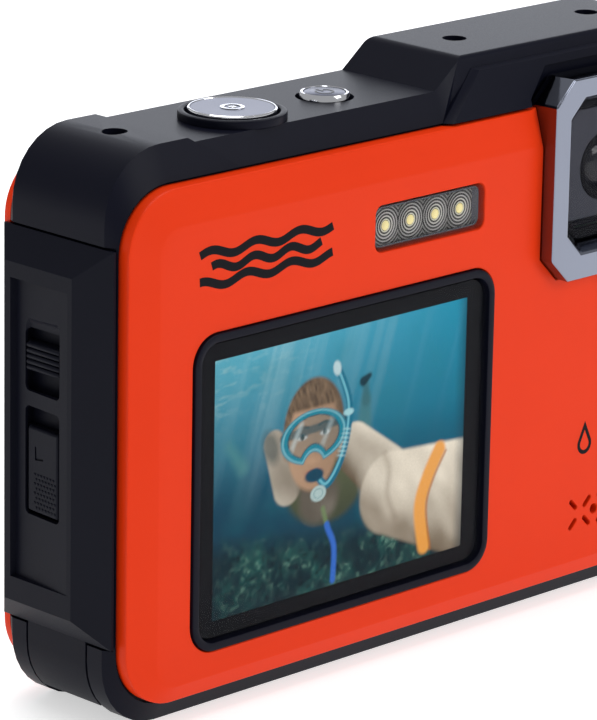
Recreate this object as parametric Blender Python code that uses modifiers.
"""Waterproof compact action camera with a front and a rear display.

Sizes are millimetres; MM turns them into metres. The front faces -Y, +X is to the right
when facing the front, and +Z is up. The origin is the centre of the underside.
"""
import math

import bmesh
import bpy
from mathutils import Matrix, Vector

MM = 0.001
GAP = 0.3                      # clearance kept between neighbouring pieces

# ---- housing, seen from the front -------------------------------------------------------
LEFT, RIGHT = -55.0, 57.0      # black band's sides
BLOCK_TOP = 66.6               # raised block at each upper corner
DECK_TOP = 66.0
HUMP_TOP = 69.5
BAND_RADIUS = 8.0
BLOCK_STEPS = (-42.75, 44.75)  # inner ends of the corner blocks on the band
FLANGE_STEPS = (-35.75, 42.6)  # where their creases reach the front and rear edges
STEP_WIDTH = 0.5
HUMP_FOOT = (-3.7, 41.7)
HUMP_SHOULDER = (0.5, 37.3)

# ---- housing, front to back ---------------------------------------------------------------
FRONT_FACE = -10.4
FRONT_EDGE = -9.6              # outer edge of the front cover's slopes
FRONT_LIP = -8.3               # black band's edge beside the cover
FRONT_LAND = -7.7              # band's flange under the cover
BAND_FRONT, BAND_BACK = -6.9, 8.1
REAR_LAND = 8.65
REAR_LIP = 8.95
REAR_BACK = 9.05               # inner face of the rear cover
REAR_EDGE = 10.05
REAR_FACE = 11.6
KEY_TOP = 12.3

# ---- flanges: (inset from the band's sides, height of the top edge, height of the bottom edge) --
FRONT_RIM, REAR_RIM = (0.8, 62.5, 2.5), (0.4, 63.5, 2.6)
SEAL_OUTER, SEAL_INNER, CAVITY = (1.4, 62.0, 3.3), (2.5, 60.8, 4.6), (3.1, 60.2, 5.3)
SEAL_GROOVE = 1.2
PAD_LOW, PAD_HIGH, PAD_BEVEL = 62.5, 68.0, 0.8

# ---- covers --------------------------------------------------------------------------------
COVER_EDGE = (-53.9, 55.9, 2.8, 62.2)      # front cover: left, right, bottom, top
COVER_FACE = (-49.8, 51.8, 4.8, 57.8)
REAR_COVER_EDGE = (-54.5, 56.5, 2.7, 63.4)
REAR_COVER_FACE = (-49.6, 51.6, 5.35, 58.4)
COVER_EDGE_RADIUS, COVER_FACE_RADIUS = 7.0, 3.0

# ---- front display, light strip, lens ---------------------------------------------------
DISPLAY_RIM = (-44.7, 3.6, 7.77, 44.82)
DISPLAY_RIM_RADIUS = 3.5
DISPLAY_RIM_WIDTH = 1.0
LED_WINDOW = (-16.35, 1.5, 49.7, 55.0)
LED_FIRST_X, LED_PITCH, LED_COUNT = -14.0, 4.1, 4
BEZEL = (11.6, 36.0, 41.1, 65.6)
BEZEL_OPENING = (14.2, 33.4, 44.2, 63.3)
BEZEL_CUT, OPENING_CUT = 2.9, 2.4          # 45 degree corners
BEZEL_FACE, BEZEL_BACK = -12.3, -8.05
LENS_X, LENS_Z = 23.8, 53.4
BARREL_RADIUS = 4.25
DISPLAY_GLASS_Y, DISPLAY_PANEL_Y = (-10.45, -9.95), (-9.6, -7.5)
LED_WINDOW_Y, LED_LENS_Y, LED_Y, LED_BOARD_Y = (-10.35, -9.85), (-9.55, -9.1), (-8.8, -8.2), (-7.9, -7.1)
LENS_WINDOW_Y, LENS_HOUSING_Y = (-10.6, -9.9), (-8.9, -2.2)
LENS_HOUSING_HALF = (7.4, 6.5)
SPEAKER_X, SPEAKER_Z = 22.75, 10.75

# ---- top controls --------------------------------------------------------------------------
SHUTTER_X, SHUTTER_Y = -30.5, -1.2
SHUTTER_RADIUS, COLLAR_RADIUS = 5.1, 6.2
POWER_X, POWER_Y, POWER_RADIUS = -15.1, -0.4, 2.9
SCREW_PLACES = ((-46.7, BLOCK_TOP), (7.4, HUMP_TOP), (30.6, HUMP_TOP), (48.7, BLOCK_TOP))
SCREW_Y = 0.6

# ---- battery door, hinged at its lower end --------------------------------------------------
DOOR_BOTTOM, DOOR_TOP = 10.4, 56.0
DOOR_SEAT = -54.3              # housing face under the door
DOOR_FACE = -57.0
DOOR_FACE_Z = (13.2, 52.5)
DOOR_FACE_Y = (-3.9, 7.2)
LEAF_Y = (-4.2, 5.4)
HINGE_X, HINGE_Z = -50.18, 2.94
BARREL_OUTER, PIN_RADIUS = 1.4, 0.6
MOUTH_Y, MOUTH_Z = (-5.6, 6.8), (14.2, 50.6)
PLUG_Y, PLUG_Z = (-4.2, 5.4), (16.2, 49.2)
GRIP_Y = (-1.7, 3.8)
LATCH_WINDOW_Z, LATCH_Z = (38.1, 45.3), (40.5, 43.7)
RIB_COUNT = 5                  # thumb ribs on the latch
LOCK_WINDOW_Z, LOCK_Z = (23.8, 36.4), (24.2, 34.0)

# ---- rear ------------------------------------------------------------------------------------
REAR_WINDOW = (-14.5, 50.0, 7.5, 57.0)
REAR_ACTIVE = (-10.7, 46.2, 10.9, 53.6)
NAV_X, NAV_Z = -33.0, 30.0
KEYS = {
    # name: (x, z, radius)
    "selfie_key": (-26.0, 44.5, 2.9),
    "record_key": (-40.0, 44.5, 2.9),
    "menu_key": (-40.0, 14.5, 2.9),
    "play_key": (-26.0, 14.5, 2.9),
    "ok_key": (NAV_X, NAV_Z, 3.6),
}
NAV_OUTER, NAV_INNER = 9.6, 4.2
ROCKER = (-42.0, -24.0, 52.0, 57.0)
ROCKER_FOOT_Y = (7.7, 8.6)
KEY_FLANGE_Y = (7.9, 8.7)
KEY_FLANGE = 0.9               # how far a key's flange stands out behind the cover

# ---- underside ---------------------------------------------------------------------------------
TRIPOD_X, TRIPOD_Y, TRIPOD_BORE = 6.0, -1.2, 3.1
STRAP_POCKET_Y, STRAP_POCKET_Z = (-5.0, 6.2), (44.0, 53.0)

PALETTE = {
    "orange": ((0.78, 0.06, 0.02), 0.4, 0.0),
    "black": ((0.02, 0.022, 0.03), 0.55, 0.0),
    "gloss_black": ((0.008, 0.008, 0.01), 0.12, 0.0),
    "glass": ((0.55, 0.6, 0.62), 0.05, 0.0),
    "dark_glass": ((0.02, 0.025, 0.03), 0.05, 0.0),
    "chrome": ((0.55, 0.57, 0.62), 0.15, 1.0),
    "satin_metal": ((0.4, 0.42, 0.48), 0.35, 1.0),
    "steel": ((0.6, 0.6, 0.62), 0.3, 1.0),
    "brass": ((0.75, 0.55, 0.22), 0.3, 1.0),
    "rubber": ((0.03, 0.03, 0.032), 0.85, 0.0),
    "board": ((0.02, 0.16, 0.07), 0.5, 0.0),
    "led": ((0.95, 0.85, 0.4), 0.4, 0.0),
    "battery": ((0.12, 0.14, 0.18), 0.45, 0.0),
    "screen": ((0.03, 0.2, 0.26), 0.25, 0.0),
}


# ================================ modelling helpers ==========================================
def clear_scene():
    for item in list(bpy.data.objects):
        bpy.data.objects.remove(item, do_unlink=True)


def collection(name):
    made = bpy.data.collections.new(name)
    bpy.context.scene.collection.children.link(made)
    return made


def material(name):
    if name in bpy.data.materials:
        return bpy.data.materials[name]
    colour, roughness, metallic = PALETTE[name]
    made = bpy.data.materials.new(name)
    made.use_nodes = True
    shader = made.node_tree.nodes["Principled BSDF"]
    shader.inputs["Base Color"].default_value = (*colour, 1.0)
    shader.inputs["Roughness"].default_value = roughness
    shader.inputs["Metallic"].default_value = metallic
    made.diffuse_color = (*colour, 1.0)
    return made


def add(name, mesh, colour=None):
    """Link a mesh as a piece, or as a cutter when it has no colour."""
    item = bpy.data.objects.new(name, mesh)
    if colour is None:
        CUTTERS.objects.link(item)
        item.hide_render = True
        item.display_type = "WIRE"
        return item
    CAMERA.objects.link(item)
    mesh.materials.append(material(colour))
    return item


def mesh_from(bm, name):
    bmesh.ops.recalc_face_normals(bm, faces=bm.faces)
    mesh = bpy.data.meshes.new(name)
    bm.to_mesh(mesh)
    bm.free()
    return mesh


def smooth(item, angle=35.0):
    item.data.shade_smooth()
    item.data.set_sharp_from_angle(angle=math.radians(angle))
    return item


def box(name, x, y, z, colour=None, bevel=0.0):
    """A block between three (low, high) ranges."""
    bm = bmesh.new()
    bmesh.ops.create_cube(bm, size=1.0)
    size = [(high - low) * MM for low, high in (x, y, z)]
    middle = [(high + low) / 2 * MM for low, high in (x, y, z)]
    bmesh.ops.scale(bm, vec=size, verts=bm.verts)
    item = add(name, mesh_from(bm, name), colour)
    item.location = middle
    if bevel:
        edge = item.modifiers.new("edges", "BEVEL")
        edge.width = bevel * MM
        edge.segments = 2
    return item


def round_box_outline(left, right, bottom, top, radius, steps=6):
    """Rectangle with round corners, anticlockwise from the lower left corner."""
    corners = ((left, bottom, 180), (right, bottom, 270), (right, top, 0), (left, top, 90))
    points = []
    for x, z, start in corners:
        centre_x = x + (radius if x == left else -radius)
        centre_z = z + (radius if z == bottom else -radius)
        for step in range(steps + 1):
            angle = math.radians(start + 90 * step / steps)
            points.append((centre_x + radius * math.cos(angle), centre_z + radius * math.sin(angle)))
    return points


def cut_box_outline(left, right, bottom, top, cut):
    """Rectangle with 45 degree corners."""
    return [(left, bottom + cut), (left + cut, bottom), (right - cut, bottom), (right, bottom + cut),
            (right, top - cut), (right - cut, top), (left + cut, top), (left, top - cut)]


def grown(frame, amount):
    left, right, bottom, top = frame
    return (left - amount, right + amount, bottom - amount, top + amount)


def circle_outline(x, z, radius, steps=28):
    turns = [math.tau * step / steps for step in range(steps)]
    return [(x + radius * math.cos(turn), z + radius * math.sin(turn)) for turn in turns]


def slot_outline(x, z, length, width, angle, steps=5):
    """Stadium outline, its long axis turned by angle degrees from +X."""
    radius, reach = width / 2, (length - width) / 2
    spin = Matrix.Rotation(math.radians(angle), 2)
    points = []
    for side, start in ((1, -90), (-1, 90)):
        for step in range(steps + 1):
            turn = math.radians(start + 180 * step / steps)
            point = spin @ Vector((side * reach + radius * math.cos(turn), radius * math.sin(turn)))
            points.append((point.x + x, point.y + z))
    return points


# a flat outline's plane: local X, Y and the direction it is extruded in
PLANES = {
    "front": Matrix(((1, 0, 0, 0), (0, 0, -1, 0), (0, 1, 0, 0), (0, 0, 0, 1))),
    "side": Matrix(((0, 0, 1, 0), (1, 0, 0, 0), (0, 1, 0, 0), (0, 0, 0, 1))),
    "top": Matrix.Identity(4),
}


def plate(name, outlines, low, high, colour=None, plane="front"):
    """Flat outlines (the first one outside, the others holes) between two depths."""
    curve = bpy.data.curves.new(name, "CURVE")
    curve.dimensions = "2D"
    curve.fill_mode = "BOTH"
    curve.extrude = (high - low) / 2 * MM
    for outline in outlines:
        spline = curve.splines.new("POLY")
        spline.points.add(len(outline) - 1)
        for point, (across, up) in zip(spline.points, outline):
            point.co = (across * MM, up * MM, 0, 1)
        spline.use_cyclic_u = True
    flat = bpy.data.objects.new(name + "_outline", curve)
    bpy.context.scene.collection.objects.link(flat)
    middle = (low + high) / 2 * MM
    offset = {"front": (0, middle, 0), "side": (middle, 0, 0), "top": (0, 0, middle)}[plane]
    flat.matrix_world = Matrix.Translation(offset) @ PLANES[plane]
    bpy.context.view_layer.update()
    ready = flat.evaluated_get(bpy.context.evaluated_depsgraph_get())
    mesh = bpy.data.meshes.new_from_object(ready)
    bm = bmesh.new()
    bm.from_mesh(mesh)
    bmesh.ops.remove_doubles(bm, verts=bm.verts, dist=0.000002)
    bmesh.ops.recalc_face_normals(bm, faces=bm.faces)
    bm.to_mesh(mesh)
    bm.free()
    mesh.name = name
    item = add(name, mesh, colour)
    item.matrix_world = flat.matrix_world
    bpy.data.objects.remove(flat)
    return item


def ring_of(outline, y):
    return [(x, y, z) for x, z in outline]


def loft(name, loops, colour=None, closed=False):
    """Skin between loops of equal length; closed joins the last loop to the first."""
    bm = bmesh.new()
    rows = [[bm.verts.new(Vector(point) * MM) for point in loop] for loop in loops]
    pairs = list(zip(rows, rows[1:]))
    if closed:
        pairs.append((rows[-1], rows[0]))
    for first, second in pairs:
        for index in range(len(first)):
            following = (index + 1) % len(first)
            bm.faces.new((first[index], first[following], second[following], second[index]))
    if not closed:
        bm.faces.new(rows[0])
        bm.faces.new(rows[-1])
    return add(name, mesh_from(bm, name), colour)


AXIS_TURN = {"up": (0, 0, 0), "front": (math.radians(90), 0, 0), "rear": (math.radians(-90), 0, 0)}


def turned(name, profile, place, colour=None, axis="up", closed=False, steps=28):
    """Turn a profile of (radius, height) points, listed down its outer side."""
    bm = bmesh.new()
    dots = [bm.verts.new((radius * MM, 0, height * MM)) for radius, height in profile]
    for first, second in zip(dots, dots[1:]):
        bm.edges.new((first, second))
    if closed:
        bm.edges.new((dots[-1], dots[0]))
    mesh = bpy.data.meshes.new(name)
    bm.to_mesh(mesh)
    bm.free()
    item = add(name, mesh, colour)
    item.location = [value * MM for value in place]
    item.rotation_euler = AXIS_TURN[axis]
    screw = item.modifiers.new("turn", "SCREW")
    screw.steps = steps
    screw.render_steps = steps
    screw.use_merge_vertices = True
    screw.merge_threshold = 0.000001
    screw.use_smooth_shade = True
    return item


def rod(name, radius, low, high, place, colour=None, axis="up", steps=28):
    """Solid cylinder from low to high along its axis, measured from place."""
    return turned(name, [(0, high), (radius, high), (radius, low), (0, low)], place, colour, axis,
                  steps=steps)


def combine(item, others, operation="DIFFERENCE"):
    for other in others:
        modifier = item.modifiers.new(other.name, "BOOLEAN")
        modifier.operation = operation
        modifier.solver = "EXACT"
        modifier.object = other
    return item


def joint_empty(name, place, pieces):
    """Empty on a joint's axis, which carries the pieces that move with it."""
    empty = bpy.data.objects.new(name, None)
    empty.location = [value * MM for value in place]
    empty.empty_display_size = 0.004
    CAMERA.objects.link(empty)
    bpy.context.view_layer.update()
    for piece in pieces:
        world = piece.matrix_world.copy()
        piece.parent = empty
        piece.matrix_world = world
    return empty


# ================================ housing =====================================================
def arc(centre_x, centre_z, radius, start, sweep=90, steps=8):
    turns = [math.radians(start + sweep * step / steps) for step in range(steps + 1)]
    return [(centre_x + radius * math.cos(turn), centre_z + radius * math.sin(turn)) for turn in turns]


def housing_outline(inset, top=None, bottom=0.0):
    """Outline of the black band; a given top replaces its stepped upper edge by a straight one."""
    left, right = LEFT + inset, RIGHT - inset
    radius = BAND_RADIUS - inset
    block, deck, hump = (BLOCK_TOP, DECK_TOP, HUMP_TOP) if top is None else (top, top, top)
    left_step, right_step = BLOCK_STEPS if top is None else FLANGE_STEPS
    stepped = [(right_step, block), (right_step - STEP_WIDTH, deck), (HUMP_FOOT[1], deck),
               (HUMP_SHOULDER[1], hump), (HUMP_SHOULDER[0], hump), (HUMP_FOOT[0], deck),
               (left_step + STEP_WIDTH, deck), (left_step, block)]
    return (arc(left + radius, bottom + radius, radius, 180)
            + arc(right - radius, bottom + radius, radius, 270)
            + arc(right - radius, block - radius, radius, 0) + stepped
            + arc(left + radius, block - radius, radius, 90))


def mid_frame():
    """Black band, open to the front and back, with a seal groove in each flange."""
    band = housing_outline(0.0)
    front_rim, rear_rim = housing_outline(*FRONT_RIM), housing_outline(*REAR_RIM)
    outer = housing_outline(*SEAL_OUTER)
    inner = housing_outline(*SEAL_INNER)
    cavity = housing_outline(*CAVITY)
    front_groove, rear_groove = FRONT_LAND + SEAL_GROOVE, REAR_LAND - SEAL_GROOVE
    section = [(front_rim, FRONT_LIP), (band, BAND_FRONT), (band, BAND_BACK), (rear_rim, REAR_LIP),
               (rear_rim, REAR_LAND), (outer, REAR_LAND), (outer, rear_groove), (inner, rear_groove),
               (inner, REAR_LAND), (cavity, REAR_LAND), (cavity, FRONT_LAND), (inner, FRONT_LAND), (inner, front_groove),
               (outer, front_groove), (outer, FRONT_LAND), (front_rim, FRONT_LAND)]
    frame = loft("mid_frame", [ring_of(outline, y) for outline, y in section], "black", closed=True)

    # sloped pad in front of the hump, over the upper edge of the front cover, with a bevelled outline
    low, high = PAD_LOW, PAD_HIGH
    foot = [(HUMP_FOOT[0], low), (HUMP_FOOT[1], low), (36.0, high), (2.0, high)]
    face = [(HUMP_FOOT[0] + PAD_BEVEL, low), (HUMP_FOOT[1] - PAD_BEVEL, low), (36.0 - PAD_BEVEL, high - 0.3),
            (2.0 + PAD_BEVEL, high - 0.3)]
    pad = loft("pad_shape", [[(x, -9.4 if z == low else -7.85, z) for x, z in face],
                             [(x, -8.5 if z == low else -7.3, z) for x, z in foot],
                             [(x, -6.0, z) for x, z in foot]])
    tripod_boss = rod("tripod_boss_shape", 5.1, 3.5, 8.6, (TRIPOD_X, TRIPOD_Y, 0))
    strap_boss = box("strap_boss_shape", (50.4, 55.0), (-6.2, 7.4), (42.5, 54.5))
    combine(frame, [pad, tripod_boss, strap_boss], "UNION")

    cutters = [
        box("door_seat_cutter", (-70, DOOR_SEAT), (-20, 20), (DOOR_BOTTOM - 0.3, DOOR_TOP + 0.3)),
        plate("mouth_cutter", [round_box_outline(*MOUTH_Y, *MOUTH_Z, 1.6, 4)], -60, -50, plane="side"),
        leaf_slot(),
        rod("hinge_relief_cutter", BARREL_OUTER + 0.35, -LEAF_Y[1] - 0.1, -LEAF_Y[0] + 0.1,
            (HINGE_X, 0, HINGE_Z), axis="front", steps=20),
        rod("pin_hole_cutter", PIN_RADIUS + GAP, -7.6, 6.4, (HINGE_X, 0, HINGE_Z), axis="front", steps=14),
        plate("bezel_cutter", [cut_box_outline(*grown(BEZEL, 1.2), BEZEL_CUT + 0.5)], -15, -7.5),
        turned("shutter_well_cutter", [(0, 75), (SHUTTER_RADIUS + GAP, 75), (SHUTTER_RADIUS + GAP, 64.5),
                                       (3.2, 64.5), (3.2, 61.9), (1.9, 61.9), (1.9, 55), (0, 55)],
               (SHUTTER_X, SHUTTER_Y, 0)),
        turned("power_well_cutter", [(0, 75), (POWER_RADIUS + 0.5, 75), (POWER_RADIUS + 0.5, 64.1),
                                     (1.5, 64.1), (1.5, 55), (0, 55)], (POWER_X, POWER_Y, 0)),
        rod("tripod_cutter", 4.2, -5, 7.4, (TRIPOD_X, TRIPOD_Y, 0)),
        box("strap_cutter", (51.9, 60), STRAP_POCKET_Y, STRAP_POCKET_Z),
        rod("strap_bar_cutter", 0.9 + GAP, 42.9, 54.1, (55.2, 0.6, 0), steps=20),
    ]
    for index, (x, top) in enumerate(SCREW_PLACES):
        profile = [(0, 80), (1.45, 80), (1.45, top - 3.2), (1.05, top - 3.2), (1.05, 58), (0, 58)]
        cutters.append(turned(f"screw_cutter_{index + 1}", profile, (x, SCREW_Y, 0), steps=20))
    return combine(frame, cutters)


def leaf_slot():
    """Cutter for the door's leaf, which wraps round the housing's lower left corner."""
    curve = arc(LEFT + BAND_RADIUS, BAND_RADIUS, 5.85, 180, 83, 10)
    points = [(-60, 11.8), (curve[0][0], 11.8)] + curve + [(curve[-1][0], -3), (-60, -3)]
    return plate("leaf_slot_cutter", [points], LEAF_Y[0] - GAP, LEAF_Y[1] + GAP)


def cover_loops(edge, face, edge_y, face_y, back_y):
    rim = round_box_outline(*edge, COVER_EDGE_RADIUS, 8)
    flat = round_box_outline(*face, COVER_FACE_RADIUS, 8)
    return [ring_of(rim, back_y), ring_of(rim, edge_y), ring_of(flat, face_y)]


def front_cover():
    """Orange plate with sloped edges and an opening for each thing in the front."""
    loops = cover_loops(COVER_EDGE, COVER_FACE, FRONT_EDGE, FRONT_FACE, FRONT_LAND - GAP)
    cover = loft("front_cover", loops, "orange")
    display_hole = round_box_outline(*grown(DISPLAY_RIM, GAP), DISPLAY_RIM_RADIUS + GAP)
    cutters = [
        plate("display_cutter", [display_hole], -15, -5),
        plate("led_cutter", [round_box_outline(*grown(LED_WINDOW, GAP), 1.3, 4)], -15, -5),
        plate("bezel_hole_cutter", [cut_box_outline(*grown(BEZEL, GAP), BEZEL_CUT + 0.15)], -15, -5),
        plate("speaker_dot_cutter", [circle_outline(SPEAKER_X, SPEAKER_Z, 0.62, 14)], -15, -5),
        plate("microphone_cutter", [circle_outline(44.0, 10.75, 0.5, 12)], -15, -5),
    ]
    for index, (x, z, angle) in enumerate(speaker_slots()):
        outline = slot_outline(x, z, 1.75, 0.6, angle)
        cutters.append(plate(f"speaker_slot_cutter_{index + 1}", [outline], -15, -5))
    return combine(cover, cutters)


def speaker_slots():
    """Two crosses of four short slots, one on each side of the round hole."""
    arm = 1.23
    places = []
    for side in (-1, 1):
        for across in (-1, 1):
            for up in (-1, 1):
                places.append((SPEAKER_X + side * 2.5 + across * arm, SPEAKER_Z + up * arm, 45 * across * up))
    return places


def rear_cover():
    loops = cover_loops(REAR_COVER_EDGE, REAR_COVER_FACE, REAR_EDGE, REAR_FACE, REAR_BACK)
    cover = loft("rear_cover", loops, "orange")
    cutters = [
        plate("rear_pocket_cutter", [round_box_outline(*grown(REAR_WINDOW, GAP), 2.3, 4)],
              REAR_FACE - 1.1, 15),
        plate("rear_view_cutter", [round_box_outline(*grown(REAR_ACTIVE, 0.8), 0.8, 3)], 5, 15),
        plate("nav_hole_cutter", [circle_outline(NAV_X, NAV_Z, NAV_OUTER + GAP, 36)], 5, 15),
        plate("rocker_hole_cutter", [round_box_outline(*grown(ROCKER, GAP), 2.8, 5)], 5, 15),
    ]
    for name, (x, z, radius) in KEYS.items():
        if name != "ok_key":
            cutters.append(plate(name + "_hole_cutter", [circle_outline(x, z, radius + GAP)], 5, 15))
    return combine(cover, cutters)


def seal(name, low, high):
    """Rubber ring in a flange's groove."""
    outer = housing_outline(SEAL_OUTER[0] + GAP, SEAL_OUTER[1] - GAP, SEAL_OUTER[2] + GAP)
    inner = housing_outline(SEAL_INNER[0] - GAP, SEAL_INNER[1] + GAP, SEAL_INNER[2] - GAP)
    loops = [ring_of(outer, low), ring_of(outer, high), ring_of(inner, high), ring_of(inner, low)]
    return loft(name, loops, "rubber", closed=True)


# ================================ front fittings ==============================================
def front_display():
    inner = grown(DISPLAY_RIM, -DISPLAY_RIM_WIDTH)
    glass = grown(inner, -GAP)
    rim = [round_box_outline(*DISPLAY_RIM, DISPLAY_RIM_RADIUS),
           round_box_outline(*inner, DISPLAY_RIM_RADIUS - DISPLAY_RIM_WIDTH)]
    plate("display_rim", rim, FRONT_FACE - 0.3, -8.2, "gloss_black")
    plate("front_display_window", [round_box_outline(*glass, 2.2)], *DISPLAY_GLASS_Y, "dark_glass")
    plate("front_display_panel", [round_box_outline(*glass, 2.2)], *DISPLAY_PANEL_Y, "screen")


def light_strip():
    plate("led_window", [round_box_outline(*LED_WINDOW, 1.0, 4)], *LED_WINDOW_Y, "glass")
    plate("led_lens_array", [round_box_outline(*grown(LED_WINDOW, -GAP), 0.8, 4)], *LED_LENS_Y, "glass")
    middle = (LED_WINDOW[2] + LED_WINDOW[3]) / 2
    for index in range(LED_COUNT):
        x = LED_FIRST_X + index * LED_PITCH
        box(f"led_{index + 1}", (x - 1.4, x + 1.4), LED_Y, (middle - 1.4, middle + 1.4), "led")
    box("led_board", (-16.0, 1.2), LED_BOARD_Y, (50.0, 54.7), "board")


def lens():
    straight = grown(BEZEL_OPENING, -0.9)
    loops = [ring_of(cut_box_outline(*BEZEL_OPENING, OPENING_CUT), BEZEL_FACE),
             ring_of(cut_box_outline(*BEZEL, BEZEL_CUT), BEZEL_FACE),
             ring_of(cut_box_outline(*BEZEL, BEZEL_CUT), BEZEL_BACK),
             ring_of(cut_box_outline(*straight, OPENING_CUT), BEZEL_BACK),
             ring_of(cut_box_outline(*straight, OPENING_CUT), -10.9)]
    loft("lens_bezel", loops, "chrome", closed=True)
    plate("lens_window", [cut_box_outline(*grown(straight, -GAP), OPENING_CUT)], *LENS_WINDOW_Y, "dark_glass")
    here = (LENS_X, 0, LENS_Z)
    half_x, half_z = LENS_HOUSING_HALF
    housing = box("lens_housing", (LENS_X - half_x, LENS_X + half_x), LENS_HOUSING_Y,
                  (LENS_Z - half_z, LENS_Z + half_z), "black")
    combine(housing, [rod("barrel_bore_cutter", BARREL_RADIUS + GAP, 0, 12, here, axis="front")])
    barrel = [(3.2, 9.5), (BARREL_RADIUS, 9.3), (BARREL_RADIUS, 2.5), (2.3, 2.5), (2.3, 6.4), (3.2, 7.0)]
    turned("lens_barrel", barrel, here, "gloss_black", "front", closed=True)
    front_element = [(0, 8.9), (1.0, 8.8), (2.0, 8.4), (2.85, 7.8), (2.85, 7.4), (0, 7.4)]
    turned("lens_front_element", front_element, here, "dark_glass", "front")
    turned("lens_rear_element", [(0, 5.0), (1.9, 4.6), (1.9, 3.6), (0, 3.2)], here, "glass", "front")
    box("image_sensor", (LENS_X - 4, LENS_X + 4), (-1.7, -0.8), (LENS_Z - 3.2, LENS_Z + 3.2), "gloss_black")
    box("sensor_board", (LENS_X - 7.5, LENS_X + 7.5), (-0.4, 0.4), (LENS_Z - 7, LENS_Z + 6.4), "board")


# ================================ top controls ================================================
def spring_wire(name, x, y, low, high, radius, wire, turns):
    """Round coil between two heights."""
    curve = bpy.data.curves.new(name, "CURVE")
    curve.dimensions = "3D"
    curve.bevel_depth = wire * MM
    curve.bevel_resolution = 1
    curve.use_fill_caps = True
    steps = 14 * turns
    spline = curve.splines.new("POLY")
    spline.points.add(steps)
    for step in range(steps + 1):
        angle = math.tau * turns * step / steps
        height = low + wire + (high - low - 2 * wire) * step / steps
        spline.points[step].co = ((x + radius * math.cos(angle)) * MM, (y + radius * math.sin(angle)) * MM,
                                  height * MM, 1)
    item = bpy.data.objects.new(name, curve)
    CAMERA.objects.link(item)
    curve.materials.append(material("steel"))
    return item


def shutter():
    here = (SHUTTER_X, SHUTTER_Y, 0)
    collar_inner, collar_foot = SHUTTER_RADIUS + GAP, DECK_TOP + 0.03
    turned("shutter_collar", [(collar_inner, 67.0), (COLLAR_RADIUS, 66.9), (COLLAR_RADIUS, collar_foot),
                              (collar_inner, collar_foot)], here, "black", closed=True, steps=40)
    cap = [(0, 67.25), (SHUTTER_RADIUS - 0.3, 67.3), (SHUTTER_RADIUS, 67.1), (SHUTTER_RADIUS, 65.9),
           (1.5, 65.9), (1.5, 58.9), (0, 58.9)]
    button = turned("shutter_button", cap, here, "satin_metal", steps=40)
    spring_wire("shutter_spring", SHUTTER_X, SHUTTER_Y, 62.1, 65.7, 2.35, 0.2, 4)
    joint_empty("shutter_joint", (SHUTTER_X, SHUTTER_Y, 66.0), [button])


def power():
    profile = [(0, 66.65), (POWER_RADIUS - 0.25, 66.65), (POWER_RADIUS, 66.4), (POWER_RADIUS, 65.2),
               (1.2, 65.2), (1.2, 58.9), (0, 58.9)]
    button = turned("power_button", profile, (POWER_X, POWER_Y, 0), "satin_metal", steps=32)
    joint_empty("power_joint", (POWER_X, POWER_Y, 66.0), [button])


def button_board():
    board = box("button_board", (-37, -9), (-4.6, 3.8), (55.6, 56.4), "board")
    for name, x, y, top in (("shutter", SHUTTER_X, SHUTTER_Y, 57.5), ("power", POWER_X, POWER_Y, 57.9)):
        switch = box(name + "_switch_shape", (x - 1.6, x + 1.6), (y - 1.6, y + 1.6), (56.0, top))
        combine(board, [switch], "UNION")


def top_screws():
    for index, (x, top) in enumerate(SCREW_PLACES):
        profile = [(0, top - 1.7), (1.0, top - 1.7), (1.2, top - 1.9), (1.2, top - 2.9), (0.75, top - 2.9),
                   (0.75, top - 7.5), (0, top - 7.8)]
        turned(f"top_screw_{index + 1}", profile, (x, SCREW_Y, 0), "steel", steps=16)


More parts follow.
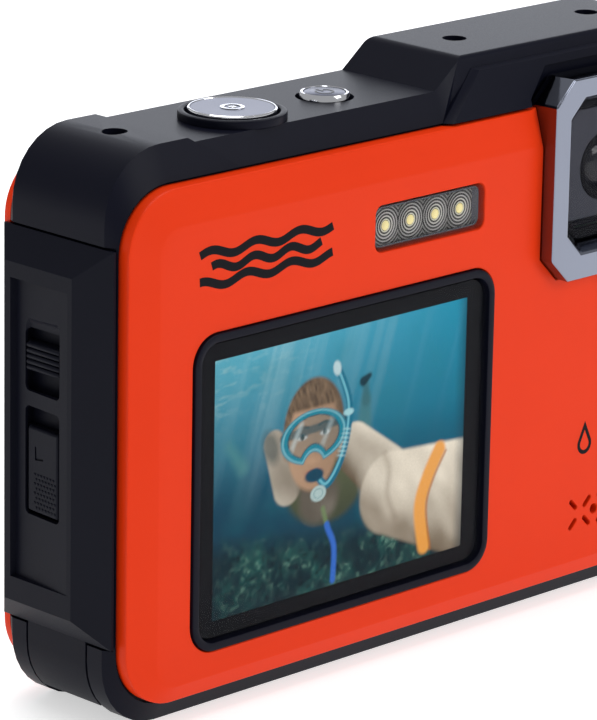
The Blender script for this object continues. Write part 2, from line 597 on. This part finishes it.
# ================================ battery door ================================================
def battery_door():
    """Door with its plug, sealing the battery's mouth, and the leaf that carries the hinge."""
    def slab(x, y, z):
        return [(x, y[0], z[0]), (x, y[1], z[0]), (x, y[1], z[1]), (x, y[0], z[1])]

    whole_y, whole_z = (-8.4, 9.5), (DOOR_BOTTOM, DOOR_TOP)
    inner = DOOR_SEAT - GAP
    door = loft("battery_door", [slab(inner, whole_y, whole_z), slab(LEFT, whole_y, whole_z),
                                 slab(DOOR_FACE, DOOR_FACE_Y, DOOR_FACE_Z)], "black")
    centre = (LEFT + BAND_RADIUS, BAND_RADIUS)
    leaf_outer, leaf_inner = arc(*centre, BAND_RADIUS, 180, 46), arc(*centre, 6.2, 180, 46)
    outline = [(LEFT, 11.5)] + leaf_outer + leaf_inner[::-1] + [(leaf_inner[0][0], 11.5)]
    leaf = plate("leaf_shape", [outline], *LEAF_Y)
    barrel = rod("barrel_shape", BARREL_OUTER, 0.2 - LEAF_Y[1], -LEAF_Y[0] - 0.2, (HINGE_X, 0, HINGE_Z),
                 axis="front", steps=20)
    plug = plate("plug_shape", [round_box_outline(*PLUG_Y, *PLUG_Z, 1.2, 4)], inner - 0.3, -52.9,
                 plane="side")
    combine(door, [leaf, barrel, plug], "UNION")

    cutters = [rod("door_pin_cutter", PIN_RADIUS + GAP, -20, 20, (HINGE_X, 0, HINGE_Z), axis="front",
                   steps=16)]
    for name, window_z in (("latch", LATCH_WINDOW_Z), ("lock", LOCK_WINDOW_Z)):
        window = round_box_outline(*GRIP_Y, *window_z, 0.7, 4)
        cutters.append(plate(name + "_window_cutter", [window], -60, -54.9, plane="side"))
        track_y, track_z = (GRIP_Y[0] - 1.0, GRIP_Y[1] + 1.0), (window_z[0] - 0.6, window_z[1] + 0.6)
        cutters.append(box(name + "_track_cutter", (-56.0, -54.9), track_y, track_z))
    combine(door, cutters)
    sliders = [door_slider("latch_slider", LATCH_Z, True), door_slider("lock_slider", LOCK_Z, False)]
    gasket_outer = round_box_outline(*grown((*PLUG_Y, *PLUG_Z), 1.0), 1.9, 4)
    gasket_inner = round_box_outline(*grown((*PLUG_Y, *PLUG_Z), GAP), 1.4, 4)
    gasket = plate("door_gasket", [gasket_outer, gasket_inner], -54.2, -53.1, "rubber", "side")
    joint_empty("door_joint", (HINGE_X, 0, HINGE_Z), [door, gasket] + sliders)


def door_slider(name, span, ribbed):
    """Thumb piece in a window of the door, with a wider foot in the track behind it."""
    width = (GRIP_Y[0] + 0.4, GRIP_Y[1] - 0.4)
    slider = plate(name, [round_box_outline(*width, *span, 0.5, 4)], -56.85, -55.5, "black", "side")
    foot = box(name + "_foot_shape", (-55.7, -55.2), (GRIP_Y[0] - 0.7, GRIP_Y[1] + 0.7), span)
    combine(slider, [foot], "UNION")
    if ribbed:
        pitch = (span[1] - span[0]) / RIB_COUNT
        for index in range(1, RIB_COUNT):
            z = span[0] + pitch * index
            cutter = box(f"{name}_groove_{index}", (-58, -56.45), (-5, 8), (z - 0.16, z + 0.16))
            combine(slider, [cutter])
    return slider


# ================================ rear ========================================================
def rear_display():
    plate("rear_display_window", [round_box_outline(*REAR_WINDOW, 2.0, 4)], 10.8, REAR_FACE, "dark_glass")
    box("rear_display_panel", (-12.5, 48.0), (6.5, 8.6), (8.6, 56.0), "screen")


def rear_keys():
    """Keys with a flange behind the cover; each one is pressed towards the front."""
    foot, shoulder = KEY_FLANGE_Y
    for name, (x, z, radius) in KEYS.items():
        flange = KEY_FLANGE if name != "ok_key" else 0.0
        profile = [(0, KEY_TOP), (radius - 0.3, KEY_TOP), (radius, KEY_TOP - 0.3), (radius, shoulder),
                   (radius + flange, shoulder), (radius + flange, foot), (0, foot)]
        key = turned(name, profile, (x, 0, z), "black", "rear")
        joint_empty(name + "_joint", (x, 11.0, z), [key])
    profile = [(NAV_INNER, 12.0), (NAV_INNER + 0.5, KEY_TOP), (NAV_OUTER - 0.4, KEY_TOP), (NAV_OUTER, 12.0),
               (NAV_OUTER, shoulder), (NAV_OUTER + KEY_FLANGE, shoulder), (NAV_OUTER + KEY_FLANGE, foot),
               (NAV_INNER, foot)]
    ring = turned("nav_ring", profile, (NAV_X, 0, NAV_Z), "black", "rear", closed=True, steps=36)
    joint_empty("nav_joint", (NAV_X, 11.0, NAV_Z), [ring])
    rocker = plate("zoom_rocker", [round_box_outline(*ROCKER, 2.5, 5)], ROCKER_FOOT_Y[0], KEY_TOP, "black")
    foot = plate("rocker_foot_shape", [round_box_outline(*grown(ROCKER, 0.7), 3.2, 5)], *ROCKER_FOOT_Y)
    combine(rocker, [foot], "UNION")
    pivot_y = sum(ROCKER_FOOT_Y) / 2
    joint_empty("rocker_joint", ((ROCKER[0] + ROCKER[1]) / 2, pivot_y, (ROCKER[2] + ROCKER[3]) / 2), [rocker])
    box("keypad_board", (-49.0, -17.0), (6.0, 6.8), (7.5, 59.5), "board")


# ================================ inside ======================================================
def power_supply():
    bay = box("battery_bay", (-51.5, -9.6), (-5.9, 2.1), (13.6, 48.2), "black")
    combine(bay, [box("bay_cutter", (-55, -10.4), (-5.1, 1.3), (14.4, 47.4))])
    box("battery", (-51.2, -10.9), (-4.7, 0.9), (14.9, 46.9), "battery", bevel=0.8)
    slot = box("card_slot", (-51.5, -36.0), (2.4, 4.3), (30.0, 43.0), "steel")
    combine(slot, [box("card_cutter", (-55, -36.4), (2.7, 4.0), (30.7, 42.3))])
    box("memory_card", (-51.9, -36.9), (3.0, 3.7), (31.0, 42.0), "gloss_black")
    socket = box("usb_connector", (-51.5, -45.3), (3.2, 5.7), (17.0, 25.0), "steel", bevel=0.4)
    combine(socket, [box("usb_cutter", (-55, -47), (3.6, 5.3), (17.5, 24.5))])


def electronics():
    box("main_board", (-44.9, 50.0), (4.6, 5.6), (9.5, 54.5), "board")
    turned("speaker", [(0, 7.4), (2.0, 7.1), (5.4, 7.4), (5.4, 5.4), (3.5, 4.7), (0, 4.7)],
           (SPEAKER_X, 0, 11.2), "black", "front")
    rod("microphone", 2.0, 5.9, 7.4, (44.0, 0, 10.75), "steel", "front", steps=20)


def fastenings():
    profile = [(0, 7.1), (3.9, 7.1), (3.9, 0.15), (TRIPOD_BORE + 0.3, 0.15), (TRIPOD_BORE, 0.45),
               (TRIPOD_BORE, 6.2), (0, 6.2)]
    turned("tripod_insert", profile, (TRIPOD_X, TRIPOD_Y, 0), "brass")
    rod("strap_bar", 0.9, 43.1, 53.9, (55.2, 0.6, 0), "steel", steps=20)
    rod("hinge_pin", PIN_RADIUS, -7.3, 6.1, (HINGE_X, 0, HINGE_Z), "steel", "front", steps=16)


clear_scene()
CAMERA = collection("action_camera")
CUTTERS = collection("cutters")
mid_frame()
front_cover()
rear_cover()
seal("front_seal", FRONT_LAND - 0.05, FRONT_LAND + 0.9)
seal("rear_seal", REAR_LAND - 1.05, REAR_BACK - 0.05)
front_display()
light_strip()
lens()
shutter()
power()
button_board()
top_screws()
battery_door()
rear_display()
rear_keys()
power_supply()
electronics()
fastenings()
for piece in CAMERA.objects:
    if piece.type == "MESH" and not any(modifier.type == "SCREW" for modifier in piece.modifiers):
        smooth(piece)
